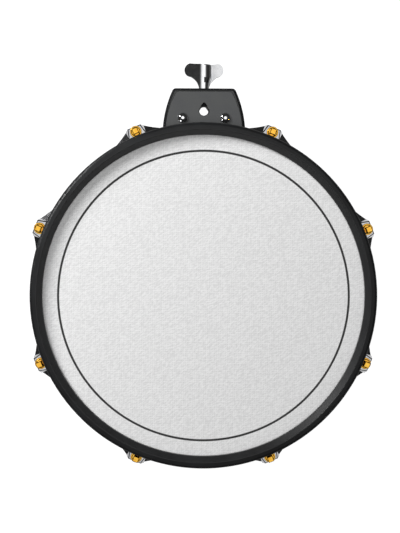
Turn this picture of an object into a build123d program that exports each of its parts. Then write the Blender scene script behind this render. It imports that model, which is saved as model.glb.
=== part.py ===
from build123d import *
import math
import os

# A 14 inch mesh-head drum pad with a cast hoop, eight tension rods and a clamp bracket.
# Millimetres. The origin is the centre of the base, +Z goes out of the playing face,
# and +Y points to the bracket. Radial pieces are drawn along +X and then turned into place.

# How far a cutting shape runs past the face that it opens
overcut = 1.0

# Shell, cover and base
shell_radius = 177.8
shell_wall = 6.0
shell_height = 105.3
bearing_width = 3.0
bearing_round = 2.3
cover_thickness = 4.0
cover_overhang = 0.6
cover_screw_count = 8
cover_screw_shank = 1.6
cover_screw_head = 3.6
cover_screw_length = 16.0
cover_round = 1.5
spigot_wall = 3.7
spigot_gap = 0.3
spigot_height = 6.0
base_sheet_bevel = 1.0
base_sheet_inset = 17.8
base_sheet_thickness = 3.0

# Head
mesh_thickness = 0.4
collar_depth = 8.5
flesh_gap = 0.6
flesh_ledge_inset = 0.4
flesh_bevel = 0.6
flesh_wall = 4.5
flesh_height = 9.0

# Cast hoop and its rubber cover
hoop_gap = 0.3
hoop_wall = 3.3
hoop_skirt_depth = 18.5
hoop_ledge = 4.5
hoop_rim_wall = 5.3
hoop_rim_rise = 6.0
rubber_overhang = 10.7
rubber_inset = 2.4
rubber_rise = 10.0
rubber_lip_rise = 0.9
rubber_lip_top_rise = 3.6
rubber_lip_round = 1.2
rubber_crest_width = 5.2
rubber_crest_round = 0.9
rubber_crown_fall = 1.7
rubber_shoulder_round = 4.5

# Tension rods, washers and ears
rod_count = 8
rod_stand_off = 16.2
rod_radius = 2.75
rod_collar_reach = 2.45
rod_collar_height = 2.2
rod_square = 6.35
rod_square_height = 7.8
rod_length = 59.0
rod_tip_bevel = 0.8
rod_collar_round = 1.2
rod_square_bevel = 0.7
washer_round = 0.5
washer_reach = 3.6
washer_thickness = 1.2
rod_hole_clearance = 0.25
ear_height = 20.0
ear_top_depth = 8.7
ear_nose = 5.8
ear_nose_half_width = 7.6
ear_shoulder_half_width = 46.0
ear_waist_half_width = 22.0
ear_waist_inset = 3.4
ear_root_bite = 0.3
ear_shoulder_drop = 1.6
ear_shoulder_slope = 11.0
ear_shoulder_tilt = 22.0
ear_column_radius = 5.6
ear_boss_bevel = 1.2
ear_column_bevel = 1.0
ear_column_bite = 2.0
boss_waist_half_width = 9.6
boss_waist_inset = 2.3
boss_root_half_width = 13.0

# Lugs
lug_drop = 32.7
lug_height = 40.0
lug_base_width = 24.0
lug_base_thickness = 3.0
lug_body_wall = 3.6
lug_base_corner = 5.0
lug_body_rise = 2.0
lug_foot_round = 2.5
lug_top_bevel = 0.8
gasket_thickness = 0.5
nut_wall = 2.25
nut_flange_reach = 1.6
nut_flange_height = 1.6
nut_length = 28.0
nut_seat_clearance = 0.1
rod_tip_clearance = 1.0
rod_tip_room = 2.0
thread_clearance = 0.05
lug_screw_radius = 2.0
lug_screw_spacing = 22.0
lug_screw_depth = 7.5
lug_screw_head_radius = 3.9
lug_screw_head_height = 2.6
lug_washer_radius = 5.0
lug_washer_thickness = 1.0
screw_hole_clearance = 0.2
screw_tip_room = 0.5
washer_gap = 0.1

# Bracket, eyebolt and wing nut
bracket_drop = 19.7
bracket_depth = 35.0
bracket_length = 50.4
bracket_tip_half_width = 33.7
bracket_waist_half_width = 42.2
bracket_waist_length = 27.2
bracket_root_half_width = 45.2
bracket_corner = 4.5
bracket_root_inset = 12.0
bracket_bevel = 3.0
plate_margin = 3.6
plate_thickness = 1.6
plate_bevel = 0.5
bracket_gasket = 1.0
gasket_inset = 2.0
l_rod_radius = 4.75
rod_passage_clearance = 1.25
rod_passage_out = 25.9
vee_radius = 2.0
vee_out = 34.7
eye_clearance = 0.25
eye_wall = 4.3
eye_thickness = 8.0
eye_bevel = 0.8
eye_out = 26.9
eye_travel_in = 2.0
eye_travel_out = 3.0
eyebolt_radius = 3.0
eyebolt_tip_out = 71.7
pocket_clearance = 0.4
bush_wall = 2.0
bush_flange_reach = 2.0
bush_flange_height = 1.5
bush_clearance = 0.1
wing_nut_gap = 0.3
wing_nut_height = 27.4
wing_nut_neck_wall = 2.4
wing_nut_hub_reach = 3.2
wing_span = 43.4
wing_thickness = 2.0
wing_hub_thickness = 6.0
wing_tip_face = 0.4
wing_lobe_bottom = 14.2
wing_top_dip = 1.3
wing_lobe_reach = 1.2
wing_neck_flare = [(0.0, 0.0), (0.3, 2.4), (3.1, 8.6), (6.8, 12.3)]
wing_tip_rise = 4.0
wing_shoulder_drop = 1.0
hub_waist_height = 7.5
hub_waist_flare = 1.0
hub_shoulder_height = 13.0
hub_bevel = 1.0
nut_blind_end = 3.0
plate_screw_x = 23.4
plate_screw_out = 17.8
plate_screw_head_radius = 6.0
plate_screw_head_height = 3.4
plate_screw_radius = 2.0
plate_screw_length = 18.0
hex_recess = 3.0
hex_recess_depth = 2.0
bracket_bolt_x = 22.0
bracket_bolt_spacing = 18.0
bracket_bolt_radius = 2.5
bracket_bolt_head_radius = 4.5
bracket_bolt_head_height = 4.0
bracket_bolt_bite = 16.0
bracket_bolt_room = 3.5
bracket_bolt_hex = 4.0
bracket_bolt_hex_depth = 2.5
backing_half_width = 34.0
backing_height = 29.0
backing_thickness = 5.0

# Output jack
jack_angle = 45.0
jack_z = 36.0
jack_plate_width = 36.0
jack_plate_height = 30.0
jack_plate_thickness = 2.4
jack_seat_radius = 9.5
jack_seat_rise = 3.6
jack_bush_radius = 4.7
jack_bush_clearance = 0.3
jack_body_gap = 0.8
jack_bore_radius = 3.25
jack_bore_length = 30.0
jack_body_length = 22.0
jack_body_width = 17.0
jack_body_height = 15.0
jack_nut_size = 14.0
jack_nut_thickness = 2.5
jack_bush_stand_out = 1.2
jack_screw_offset = 13.0
jack_screw_radius = 1.5
jack_screw_head = 3.0
jack_screw_head_height = 1.6
jack_screw_length = 9.0

# Trigger parts inside the shell
brace_z = 58.0
brace_half_width = 20.0
brace_thickness = 3.0
brace_tab_depth = 20.0
brace_screw_y = 11.0
brace_screw_radius = 1.8
brace_screw_length = 8.0
brace_screw_head = 3.6
brace_screw_head_height = 2.2
brace_boss = 1.0
brace_tab_gap = 0.1
sensor_base_radius = 30.0
sensor_base_thickness = 3.0
tape_radius = 15.0
tape_thickness = 2.0
piezo_radius = 13.5
piezo_thickness = 0.3
ceramic_radius = 10.0
ceramic_thickness = 0.2
cone_base_radius = 20.0
cone_tip_radius = 8.0
rim_sensor_x = 90.0
rim_pad_size = 28.0
board_x = -92.0
board_length = 44.0
board_width = 28.0
board_thickness = 1.6
board_spacer_height = 4.0
board_spacer_radius = 2.6
board_screw_radius = 1.2
board_screw_head = 2.4
board_screw_head_height = 1.6
board_screw_x = 18.0
board_screw_y = 10.0
terminal_height = 8.0
terminal_length = 16.0
terminal_width = 8.0
lead_radius = 0.8
lead_clearance = 0.4
head_lead_bend = 4.0
rim_lead_bend = 8.0
jack_lead_bend = 14.0

# Levels and radii that follow from the sizes above
shell_inner = shell_radius - shell_wall
far = 2 * shell_radius
base_sheet_radius = shell_radius - base_sheet_inset
cover_bottom = base_sheet_thickness
shell_bottom = cover_bottom + cover_thickness
shell_top = shell_bottom + shell_height
head_plane = shell_top + mesh_thickness
collar_outer = shell_radius + mesh_thickness
flesh_inner = collar_outer + flesh_gap
flesh_outer = flesh_inner + flesh_wall
flesh_top = head_plane - collar_depth
hoop_inner = flesh_inner + flesh_ledge_inset
hoop_wall_inner = flesh_outer + hoop_gap
hoop_wall_outer = hoop_wall_inner + hoop_wall
hoop_bottom = head_plane - hoop_skirt_depth
rim_outer = hoop_inner + hoop_rim_wall
rim_top = head_plane + hoop_rim_rise
shoulder_z = flesh_top + hoop_ledge
rubber_top = head_plane + rubber_rise
ear_top = head_plane - ear_top_depth
ear_bottom = ear_top - ear_height
rod_circle_radius = shell_radius + rod_stand_off
rod_collar_radius = rod_radius + rod_collar_reach
washer_radius = rod_radius + washer_reach
nut_radius = rod_radius + nut_wall
nut_flange_radius = nut_radius + nut_flange_reach
lug_body_radius = nut_radius + lug_body_wall
rod_passage_radius = l_rod_radius + rod_passage_clearance
bush_radius = eyebolt_radius + bush_wall
bush_flange_radius = bush_radius + bush_flange_reach
wing_nut_neck_radius = eyebolt_radius + wing_nut_neck_wall
wing_nut_hub_radius = wing_nut_neck_radius + wing_nut_hub_reach
rubber_outer_radius = shell_radius + rubber_overhang
rubber_inner_radius = shell_radius - rubber_inset
washer_top = ear_top + washer_thickness
rod_angles = [360 / rod_count * (i + 0.5) for i in range(rod_count)]
lug_top = head_plane - lug_drop
lug_bottom = lug_top - lug_height
lug_seat = shell_radius + gasket_thickness
nut_bottom = lug_top + nut_flange_height - nut_length
bracket_top_z = head_plane - bracket_drop
bracket_bottom_z = bracket_top_z - bracket_depth
bracket_reach = shell_radius + bracket_length
bracket_waist_reach = shell_radius + bracket_waist_length
rod_passage_y = shell_radius + rod_passage_out
vee_reach = shell_radius + vee_out
eye_y = shell_radius + eye_out
eyebolt_tip_y = shell_radius + eyebolt_tip_out
plate_screw_y = shell_radius + plate_screw_out
bracket_mid_z = bracket_top_z - bracket_depth / 2
bracket_seat = shell_radius + bracket_gasket
eye_radius = l_rod_radius + eye_clearance
eye_outer = eye_radius + eye_wall
pocket_half_width = eye_outer + pocket_clearance
pocket_end = eye_y + eye_outer + eye_travel_out + pocket_clearance
backing_face = shell_inner - backing_thickness
jack_plate_outer = shell_radius + jack_plate_thickness
jack_seat_face = shell_radius + jack_seat_rise
jack_mouth = jack_seat_face + jack_nut_thickness + jack_bush_stand_out
brace_top = brace_z + brace_thickness
sensor_top = brace_top + sensor_base_thickness
cone_bottom = sensor_top + tape_thickness + piezo_thickness + ceramic_thickness
board_bottom = brace_top + board_spacer_height
board_top = board_bottom + board_thickness

nodes = {}


def cylinder(radius, bottom, top):
    return Pos(0, 0, bottom) * extrude(Circle(radius), amount=top - bottom)


def ring(inner, outer, bottom, top):
    return Pos(0, 0, bottom) * extrude(Circle(outer) - Circle(inner), amount=top - bottom)


def block(x0, x1, y0, y1, z0, z1):
    box = Box(x1 - x0, y1 - y0, z1 - z0)
    return Pos((x0 + x1) / 2, (y0 + y1) / 2, (z0 + z1) / 2) * box


def rod_x(radius, x0, x1, y=0.0, z=0.0):
    """A cylinder whose axis runs along +X from x0 to x1."""
    return Pos(x0, y, z) * Rot(0, 90, 0) * cylinder(radius, 0, x1 - x0)


def rod_y(radius, y0, y1, x=0.0, z=0.0):
    """A cylinder whose axis runs along +Y from y0 to y1."""
    return Pos(x, y0, z) * Rot(-90, 0, 0) * cylinder(radius, 0, y1 - y0)


def turned(points, axis=Axis.Z):
    """A solid of revolution from a closed outline of radius and height."""
    outline = make_face(Polyline([(r, 0, z) for r, z in points], close=True))
    return revolve(outline, axis)


def group(shapes):
    solids = [solid for shape in shapes for solid in shape.solids()]
    return Compound(solids)


def around(shape, angles):
    return [Rot(0, 0, angle) * shape for angle in angles]


# Base, cover and shell

def make_base_sheet():
    sheet = cylinder(base_sheet_radius, 0, base_sheet_thickness)
    return chamfer(sheet.edges().group_by(Axis.Z)[0], base_sheet_bevel)


cover_screw_angles = [360 / cover_screw_count * i for i in range(cover_screw_count)]
cover_screw_circle = shell_radius - shell_wall / 2


def make_cover_screw():
    head_depth = cover_screw_head - cover_screw_shank
    top = cover_bottom + cover_screw_length
    profile = [(0, cover_bottom), (cover_screw_head, cover_bottom),
               (cover_screw_shank, cover_bottom + head_depth), (cover_screw_shank, top), (0, top)]
    return Pos(cover_screw_circle, 0, 0) * turned(profile)


def make_cover():
    cover = cylinder(shell_radius + cover_overhang, cover_bottom, shell_bottom)
    cover = fillet(cover.edges().group_by(Axis.Z)[0], cover_round)
    spigot_outer = shell_inner - spigot_gap
    cover += ring(spigot_outer - spigot_wall, spigot_outer, shell_bottom, shell_bottom + spigot_height)
    for screw in around(make_cover_screw(), cover_screw_angles):
        cover -= screw
    return cover


def lug_screw_levels():
    middle = lug_bottom + lug_height / 2
    return [middle - lug_screw_spacing / 2, middle + lug_screw_spacing / 2]


def make_shell():
    shell = ring(shell_inner, shell_radius, shell_bottom, shell_top)
    top_edges = shell.edges().group_by(Axis.Z)[-1].sort_by(SortBy.RADIUS)
    shell = chamfer(top_edges[0], bearing_width)
    outer_edge = shell.edges().filter_by(GeomType.CIRCLE).group_by(Axis.Z)[-1].sort_by(SortBy.RADIUS)[-1]
    shell = fillet(outer_edge, bearing_round)
    for screw in around(make_cover_screw(), cover_screw_angles):
        shell -= screw
    inside = shell_inner - overcut
    outside = shell_radius + overcut
    for level in lug_screw_levels():
        hole = rod_x(lug_screw_radius + screw_hole_clearance, inside, outside, 0, level)
        for cut in around(hole, rod_angles):
            shell -= cut
    for x, z in bracket_bolt_places():
        shell -= rod_y(bracket_bolt_radius + screw_hole_clearance, backing_face, outside, x, z)
    bush_hole = rod_x(jack_bush_radius + jack_bush_clearance, inside, outside, 0, jack_z)
    shell -= Rot(0, 0, jack_angle) * bush_hole
    for hole in jack_screws():
        shell -= hole
    for hole in brace_screws():
        shell -= hole
    return shell


# Mesh head

def make_mesh_disc():
    """The flat playing mesh and its turn over the bearing edge."""
    turn_start = shell_radius - bearing_round
    turn_z = shell_top - bearing_round
    disc = cylinder(turn_start, shell_top, head_plane)
    quarter = Pos(turn_start, turn_z) * (Circle(bearing_round + mesh_thickness) - Circle(bearing_round))
    corner = Rectangle(far, far, align=(Align.MIN, Align.MIN))
    quarter &= Pos(turn_start, turn_z) * corner
    section = Rot(90, 0, 0) * quarter
    return disc + revolve(section, Axis.Z)


def make_mesh_collar():
    """The band of mesh between the bearing edge and the flesh hoop."""
    top = shell_top - bearing_round
    return ring(shell_radius, collar_outer, flesh_top - flesh_height / 2, top)


def make_flesh_hoop():
    hoop = ring(flesh_inner, flesh_outer, flesh_top - flesh_height, flesh_top)
    return chamfer(hoop.edges().group_by(Axis.Z)[0], flesh_bevel)


# Cast hoop with its ears, and the rubber cover on its rim

def ear_outline():
    """Each shoulder sweeps in a hollow curve from the nose to the hoop's wall."""
    nose = rod_circle_radius + ear_nose
    root = math.sqrt((hoop_wall_outer - ear_root_bite) ** 2 - ear_shoulder_half_width ** 2)
    waist = rod_circle_radius - ear_waist_inset
    side = ThreePointArc((nose, ear_nose_half_width), (waist, ear_waist_half_width),
                         (root, ear_shoulder_half_width))
    other = ThreePointArc((root, -ear_shoulder_half_width), (waist, -ear_waist_half_width),
                          (nose, -ear_nose_half_width))
    return make_face([side, Line(side @ 1, other @ 0), other, Line(other @ 1, side @ 0)])


def boss_outline():
    nose = rod_circle_radius + ear_nose
    waist = rod_circle_radius - boss_waist_inset
    root = hoop_wall_outer - hoop_wall / 2
    side = [(root, boss_root_half_width), (waist, boss_waist_half_width), (nose, ear_nose_half_width)]
    other = [(x, -y) for x, y in reversed(side)]
    return Polyline(side + other, close=True)


def make_ear():
    """A long tapered ear whose shoulders fall outwards and away from a flat, deeper boss round the rod."""
    body_top = ear_top - ear_shoulder_drop
    body = Pos(0, 0, hoop_bottom) * extrude(ear_outline(), amount=body_top - hoop_bottom)
    above = Box(far, far, ear_height, align=(Align.CENTER, Align.MIN, Align.MIN))
    slope_start = Pos(hoop_wall_outer, boss_waist_half_width, body_top)
    slope = slope_start * Rot(0, ear_shoulder_tilt, 0) * Rot(-ear_shoulder_slope, 0, 0) * above
    body -= slope
    body -= mirror(slope, Plane.XZ)
    boss = Pos(0, 0, hoop_bottom) * extrude(make_face(boss_outline()), amount=ear_top - hoop_bottom)
    boss = chamfer(boss.edges().group_by(Axis.Z)[-1].filter_by(GeomType.LINE), ear_boss_bevel)
    column = cylinder(ear_column_radius, ear_bottom, hoop_bottom + ear_column_bite)
    column = Pos(rod_circle_radius, 0, 0) * column
    column = chamfer(column.edges().group_by(Axis.Z)[0], ear_column_bevel)
    return body + boss + column


def make_cast_hoop():
    profile = [(hoop_wall_inner, hoop_bottom), (hoop_wall_outer, hoop_bottom), (hoop_wall_outer, shoulder_z),
               (rim_outer, shoulder_z), (rim_outer, rim_top), (hoop_inner, rim_top),
               (hoop_inner, flesh_top), (hoop_wall_inner, flesh_top)]
    hoop = turned(profile)
    ear = make_ear() - cylinder(hoop_wall_inner, ear_bottom - overcut, ear_top + overcut)
    hole = cylinder(rod_radius + rod_hole_clearance, ear_bottom - overcut, ear_top + overcut)
    hole = Pos(rod_circle_radius, 0, 0) * hole
    for piece in around(ear, rod_angles):
        hoop += piece
    for cut in around(hole, rod_angles):
        hoop -= cut
    return hoop


def make_rubber_cover():
    """A crowned rubber channel on the rim: a sharp inner crest, a gentle outward fall, a round shoulder."""
    crest = rubber_inner_radius + rubber_crest_width
    shoulder_corner = rubber_top - rubber_crown_fall
    lip_top = head_plane + rubber_lip_top_rise
    lip_z = head_plane + rubber_lip_rise
    rounds = {(rubber_outer_radius, shoulder_corner): rubber_shoulder_round,
              (crest, rubber_top): rubber_crest_round,
              (rubber_inner_radius, lip_top): rubber_lip_round}
    profile = [(rubber_outer_radius, shoulder_z), *rounds, (rubber_inner_radius, lip_z),
               (hoop_inner, lip_z), (hoop_inner, rim_top), (rim_outer, rim_top), (rim_outer, shoulder_z)]
    section = make_face(Polyline([(r, 0, z) for r, z in profile], close=True))
    for (radius, height), size in rounds.items():
        corner = section.vertices().sort_by_distance((radius, 0, height))[0]
        section = fillet(corner, size)
    return revolve(section, Axis.Z)


# Tension rods and lugs

def make_tension_rod():
    shank = cylinder(rod_radius, washer_top - rod_length, washer_top)
    shank = chamfer(shank.edges().group_by(Axis.Z)[0], rod_tip_bevel)
    collar = cylinder(rod_collar_radius, washer_top, washer_top + rod_collar_height)
    collar = fillet(collar.edges().group_by(Axis.Z)[-1], rod_collar_round)
    square_bottom = washer_top + rod_collar_height
    square = Pos(0, 0, square_bottom + rod_square_height / 2) * Box(rod_square, rod_square, rod_square_height)
    square = chamfer(square.edges().group_by(Axis.Z)[-1], rod_square_bevel)
    return Pos(rod_circle_radius, 0, 0) * (shank + collar + square)


def make_rod_washer():
    washer = ring(rod_radius + rod_hole_clearance, washer_radius, ear_top, washer_top)
    washer = fillet(washer.edges().group_by(Axis.Z)[-1].sort_by(SortBy.RADIUS)[-1], washer_round)
    return Pos(rod_circle_radius, 0, 0) * washer


def make_lug():
    half = lug_base_width / 2
    base_face = lug_seat + lug_base_thickness
    base = block(shell_radius - lug_base_thickness, base_face, -half, half, lug_bottom, lug_top)
    base = fillet(base.edges().filter_by(Axis.X), lug_base_corner)
    foot = lug_bottom + lug_body_rise
    neck = block(lug_seat, rod_circle_radius, -lug_body_radius, lug_body_radius, foot, lug_top)
    barrel = Pos(rod_circle_radius, 0, 0) * cylinder(lug_body_radius, foot, lug_top)
    body = neck + barrel
    body = fillet(body.edges().group_by(Axis.Z)[0], lug_foot_round)
    body = chamfer(body.edges().group_by(Axis.Z)[-1], lug_top_bevel)
    casing = base + body
    casing -= cylinder(lug_seat, lug_bottom - overcut, lug_top + overcut)
    bore = cylinder(nut_radius + nut_seat_clearance, nut_bottom - overcut, lug_top + overcut)
    casing -= Pos(rod_circle_radius, 0, 0) * bore
    tip = cylinder(rod_radius + rod_tip_clearance, washer_top - rod_length - rod_tip_room, nut_bottom)
    casing -= Pos(rod_circle_radius, 0, 0) * tip
    for level in lug_screw_levels():
        casing -= rod_x(lug_screw_radius, shell_radius - overcut, lug_seat + lug_screw_depth, 0, level)
    return casing


def make_swivel_nut():
    bore = rod_radius + thread_clearance
    nut = ring(bore, nut_radius, nut_bottom, lug_top)
    flange = ring(bore, nut_flange_radius, lug_top, lug_top + nut_flange_height)
    return Pos(rod_circle_radius, 0, 0) * (nut + flange)


def make_lug_gasket():
    sheet = ring(shell_radius, lug_seat, lug_bottom, lug_top)
    pad = sheet & block(0, far, -lug_base_width / 2, lug_base_width / 2, lug_bottom, lug_top)
    for level in lug_screw_levels():
        pad -= rod_x(lug_screw_radius + screw_hole_clearance, shell_inner, lug_seat + overcut, 0, level)
    return pad


def make_lug_screw(level):
    washer_face = shell_inner - lug_washer_thickness - washer_gap
    shank = rod_x(lug_screw_radius, washer_face, lug_seat + lug_screw_depth - screw_tip_room, 0, level)
    head = rod_x(lug_screw_head_radius, washer_face - lug_screw_head_height, washer_face, 0, level)
    return shank + head


def make_lug_washer(level):
    outer = shell_inner - washer_gap
    inner = outer - lug_washer_thickness
    disc = rod_x(lug_washer_radius, inner, outer, 0, level)
    return disc - rod_x(lug_screw_radius, inner - overcut, outer + overcut, 0, level)


# Bracket, eyebolt and wing nut

def bracket_bolt_places():
    low = bracket_mid_z - bracket_bolt_spacing / 2
    return [(x, z) for x in (-bracket_bolt_x, bracket_bolt_x) for z in (low, low + bracket_bolt_spacing)]


def bracket_outline(margin=0.0):
    """Gently bowed flanks from the shell out to a straight tip, all drawn in by the margin."""
    root_y = shell_radius - bracket_root_inset
    tip_x = bracket_tip_half_width - margin
    tip_y = bracket_reach - margin
    waist_x = bracket_waist_half_width - margin
    root_x = bracket_root_half_width - margin
    right = ThreePointArc((root_x, root_y), (waist_x, bracket_waist_reach), (tip_x, tip_y))
    top = Line((tip_x, tip_y), (-tip_x, tip_y))
    left = ThreePointArc((-tip_x, tip_y), (-waist_x, bracket_waist_reach), (-root_x, root_y))
    face = make_face([right, top, left, Line((-root_x, root_y), (root_x, root_y))])
    corners = face.vertices().group_by(Axis.Y)[-1]
    return fillet(corners, bracket_corner)


def passage():
    """The teardrop hole for the rod: a round seat that narrows to a vee."""
    seat = Pos(0, rod_passage_y) * Circle(rod_passage_radius)
    vee_y = vee_reach - vee_radius
    tip = Pos(0, vee_y) * Circle(vee_radius)
    lean = math.asin((rod_passage_radius - vee_radius) / (vee_y - rod_passage_y))
    across = math.cos(lean)
    along = math.sin(lean)
    flank = [(rod_passage_radius * across, rod_passage_y + rod_passage_radius * along),
             (vee_radius * across, vee_y + vee_radius * along)]
    mirrored = [(-x, y) for x, y in reversed(flank)]
    teardrop = seat + tip + make_face(Polyline(flank + mirrored, close=True))
    return Pos(0, 0, bracket_bottom_z - overcut) * extrude(teardrop, amount=bracket_depth + 2 * overcut)


def make_bracket():
    body = Pos(0, 0, bracket_bottom_z) * extrude(bracket_outline(), amount=bracket_depth)
    body = chamfer(body.edges().group_by(Axis.Z)[-1], bracket_bevel)
    body = chamfer(body.edges().group_by(Axis.Z)[0], bracket_bevel / 2)
    recess_floor = bracket_top_z - plate_thickness
    body -= Pos(0, 0, recess_floor) * extrude(bracket_outline(plate_margin), amount=plate_thickness + overcut)
    body -= cylinder(bracket_seat, bracket_bottom_z - overcut, bracket_top_z + overcut)
    body -= passage()
    half = eye_thickness / 2 + pocket_clearance
    body -= block(-pocket_half_width, pocket_half_width, shell_radius, pocket_end,
                  bracket_mid_z - half, bracket_mid_z + half)
    mouth = bracket_reach + overcut
    body -= rod_y(bush_radius, pocket_end - overcut, mouth, 0, bracket_mid_z)
    body -= rod_y(bush_flange_radius, bracket_reach - bush_flange_height, mouth, 0, bracket_mid_z)
    for x, z in bracket_bolt_places():
        body -= rod_y(bracket_bolt_radius, backing_face, bracket_seat + bracket_bolt_bite, x, z)
    for x in (-plate_screw_x, plate_screw_x):
        hole_bottom = bracket_top_z - plate_screw_length - screw_tip_room
        hole = cylinder(plate_screw_radius, hole_bottom, bracket_top_z + overcut)
        body -= Pos(x, plate_screw_y, 0) * hole
    return body


def make_bracket_plate():
    bottom = bracket_top_z - plate_thickness
    plate = Pos(0, 0, bottom) * extrude(bracket_outline(plate_margin), amount=plate_thickness)
    plate = chamfer(plate.edges().group_by(Axis.Z)[-1], plate_bevel)
    plate -= cylinder(bracket_seat, bottom - overcut, bracket_top_z + overcut)
    plate -= passage()
    for x in (-plate_screw_x, plate_screw_x):
        hole = cylinder(plate_screw_radius, bottom - overcut, bracket_top_z + overcut)
        plate -= Pos(x, plate_screw_y, 0) * hole
    return plate


def make_plate_screw(x):
    shank = cylinder(plate_screw_radius, bracket_top_z - plate_screw_length, bracket_top_z)
    rise = plate_screw_head_height
    crown = bracket_top_z + rise
    dome_radius = (plate_screw_head_radius ** 2 + rise ** 2) / (2 * rise)
    dome = Pos(0, 0, crown - dome_radius) * Sphere(dome_radius)
    head = dome & cylinder(plate_screw_head_radius, bracket_top_z, crown + overcut)
    hexagon = RegularPolygon(hex_recess / 2, 6, major_radius=False)
    socket = Pos(0, 0, crown - hex_recess_depth) * extrude(hexagon, amount=hex_recess_depth + overcut)
    return Pos(x, plate_screw_y, 0) * (shank + head - socket)


def make_bracket_gasket():
    bottom = bracket_bottom_z + bracket_bevel / 2
    top = bracket_top_z - bracket_bevel
    half = bracket_root_half_width - gasket_inset
    pad = ring(shell_radius, bracket_seat, bottom, top) & block(-half, half, 0, far, bottom, top)
    for x, z in bracket_bolt_places():
        pad -= rod_y(bracket_bolt_radius + screw_hole_clearance, backing_face, bracket_seat + overcut, x, z)
    return pad


def make_backing_plate():
    bar = block(-backing_half_width, backing_half_width, backing_face, shell_radius,
                bracket_mid_z - backing_height / 2, bracket_mid_z + backing_height / 2)
    plate = bar & cylinder(shell_inner, 0, shell_top)
    for x, z in bracket_bolt_places():
        plate -= rod_y(bracket_bolt_radius + screw_hole_clearance, backing_face - overcut, shell_radius, x, z)
    return plate


def make_bracket_bolt(x, z):
    head_face = backing_face - bracket_bolt_head_height
    tip = bracket_seat + bracket_bolt_bite - bracket_bolt_room
    shank = rod_y(bracket_bolt_radius, backing_face, tip, x, z)
    head = rod_y(bracket_bolt_head_radius, head_face, backing_face, x, z)
    hexagon = RegularPolygon(bracket_bolt_hex / 2, 6, major_radius=False)
    socket = extrude(hexagon, amount=bracket_bolt_hex_depth + overcut)
    return shank + head - Pos(x, head_face + bracket_bolt_hex_depth, z) * Rot(90, 0, 0) * socket


def make_bush():
    bore = eyebolt_radius + bush_clearance
    flange_y = bracket_reach - bush_flange_height
    sleeve = rod_y(bush_radius, pocket_end, bracket_reach, 0, bracket_mid_z)
    flange = rod_y(bush_flange_radius, flange_y, bracket_reach, 0, bracket_mid_z)
    return sleeve + flange - rod_y(bore, pocket_end - overcut, bracket_reach + overcut, 0, bracket_mid_z)


def make_eyebolt():
    half = eye_thickness / 2
    eye = cylinder(eye_outer, bracket_mid_z - half, bracket_mid_z + half)
    eye = chamfer(eye.edges(), eye_bevel)
    shank = rod_y(eyebolt_radius, eye_radius + eye_wall / 2, eyebolt_tip_y - eye_y, 0, bracket_mid_z)
    hole = cylinder(eye_radius, bracket_mid_z - half - overcut, bracket_mid_z + half + overcut)
    bolt = eye + shank - hole
    return Pos(0, eye_y, 0) * bolt


def wing_outline():
    """The front view of the wings: two rounded lobes that sweep down to the neck."""
    half = wing_span / 2
    top = wing_nut_height + wing_top_dip
    lobe = (top - wing_lobe_bottom) / 2
    lobe_y = top - lobe
    neck = [(wing_nut_neck_radius + flare, height) for flare, height in wing_neck_flare]
    neck.append((half - lobe + wing_lobe_reach, wing_lobe_bottom))
    right = Spline(neck, tangents=[(0, 1), (1, 0.25)])
    lobe_start = right @ 1
    crown_end = half - lobe + wing_lobe_reach
    tip = ThreePointArc(lobe_start, (half, lobe_y), (crown_end, top))
    crown = ThreePointArc(tip @ 1, (0, wing_nut_height), (-crown_end, top))
    left_tip = ThreePointArc(crown @ 1, (-half, lobe_y), (-lobe_start.X, lobe_start.Y))
    mirrored = [(-x, y) for x, y in reversed(neck)]
    left = Spline(mirrored, tangents=[(1, -0.25), (0, -1)])
    return make_face([right, tip, crown, left_tip, left, Line(left @ 1, right @ 0)])


def wing_plan():
    """The end view of the wings, an S: each climbs the hub on its own side and is flat on the other."""
    tip = wing_span / 2 + overcut
    hub = wing_nut_hub_radius
    flat_end = (-tip * 0.56, wing_tip_face + wing_tip_rise)
    face = Spline([(-tip, wing_tip_face), flat_end, (-hub * 0.62, hub - wing_shoulder_drop), (0, hub)],
                  tangents=[(1, 0.45), (1, 0)])
    back_at_hub = hub - wing_hub_thickness
    back_at_tip = wing_tip_face - wing_thickness
    back = Spline([(0, back_at_hub), (-tip * 0.5, (back_at_hub + back_at_tip) / 2), (-tip, back_at_tip)],
                  tangents=[(-1, -0.1), (-1, -0.2)])
    left = make_face([face, Line(face @ 1, back @ 0), back, Line(back @ 1, face @ 0)])
    return mirror(left + Rot(0, 0, 180) * left, Plane.XZ)


def make_wing_nut():
    """The nut is drawn with its axis on +Z, then laid along +Y on the eyebolt."""
    waist = wing_nut_neck_radius + hub_waist_flare
    hub = turned([(0, 0), (wing_nut_neck_radius, 0), (waist, hub_waist_height),
                  (wing_nut_hub_radius, hub_shoulder_height),
                  (wing_nut_hub_radius, wing_nut_height - hub_bevel),
                  (wing_nut_hub_radius - hub_bevel, wing_nut_height), (0, wing_nut_height)])
    front = Rot(90, 0, 0) * (Pos(0, 0, -wing_span / 2) * extrude(wing_outline(), amount=wing_span))
    plan = extrude(wing_plan(), amount=wing_nut_height + wing_span, dir=(0, 0, 1))
    wings = plan & front
    bore = cylinder(eyebolt_radius + thread_clearance, -overcut, wing_nut_height - nut_blind_end)
    nut = hub + wings - bore
    return Pos(0, bracket_reach + wing_nut_gap, bracket_mid_z) * Rot(-90, 0, 0) * nut


# Output jack

def at_jack(shape):
    return Rot(0, 0, jack_angle) * shape


def jack_screws():
    screws = []
    for y in (-jack_screw_offset, jack_screw_offset):
        face = jack_plate_outer
        shank = rod_x(jack_screw_radius, face - jack_screw_length, face, y, jack_z)
        head = rod_x(jack_screw_head, face, face + jack_screw_head_height, y, jack_z)
        screws.append(at_jack(shank + head))
    return screws


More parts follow.
